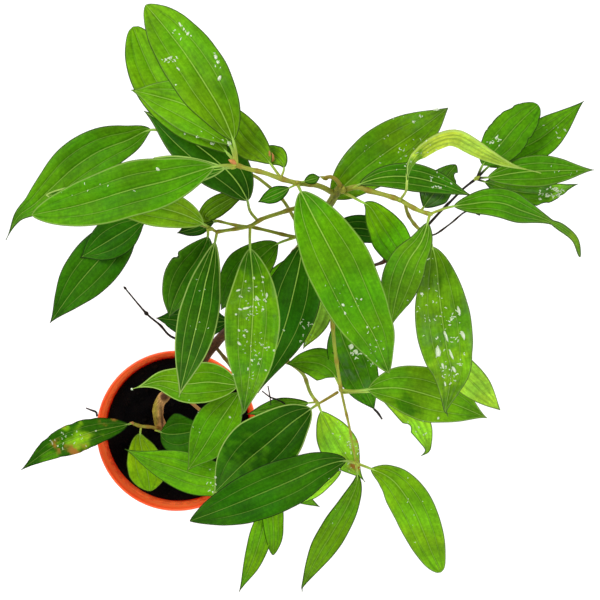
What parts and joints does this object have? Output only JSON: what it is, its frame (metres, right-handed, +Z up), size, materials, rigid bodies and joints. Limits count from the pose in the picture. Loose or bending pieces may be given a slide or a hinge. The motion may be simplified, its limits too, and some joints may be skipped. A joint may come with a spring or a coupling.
{
  "type": "potted bay leaf plant",
  "caption": "Young Indian bay leaf plant leaning out of a round terracotta-coloured nursery pot, with a bent woody stem, thin twigs and long glossy three-veined leaves, some of them wet.",
  "frame": {"origin": "middle of the pot's base, on the surface that the pot stands on", "axes": "+Z up; the stem leans out of the pot towards +X and +Y, and the picture looks straight down with +X to its right and +Y to its top"},
  "size_m": [0.4055, 0.3923, 0.4597],
  "materials": {
    "pot_plastic": "satin",
    "potting_soil": "matte",
    "bark": "matte",
    "dead_wood": "matte",
    "leaf": "satin"
  },
  "bodies": {
    "root": {"pot": "pot_plastic", "soil": "potting_soil", "stem": "bark", "dry_twig": "dead_wood", "shoot_top_left": "leaf", "shoot_right": "leaf", "high_leaf": "leaf", "shoot_left": "leaf", "shoot_left_low": "leaf", "shoot_top_left_low": "leaf", "shoot_centre": "leaf", "shoot_front": "leaf", "shoot_low_right": "leaf", "shoot_low": "leaf", "shoot_far_right": "leaf", "shoot_base": "leaf", "small_leaf": "leaf", "low_leaf": "leaf"}
  },
  "joints": []
}
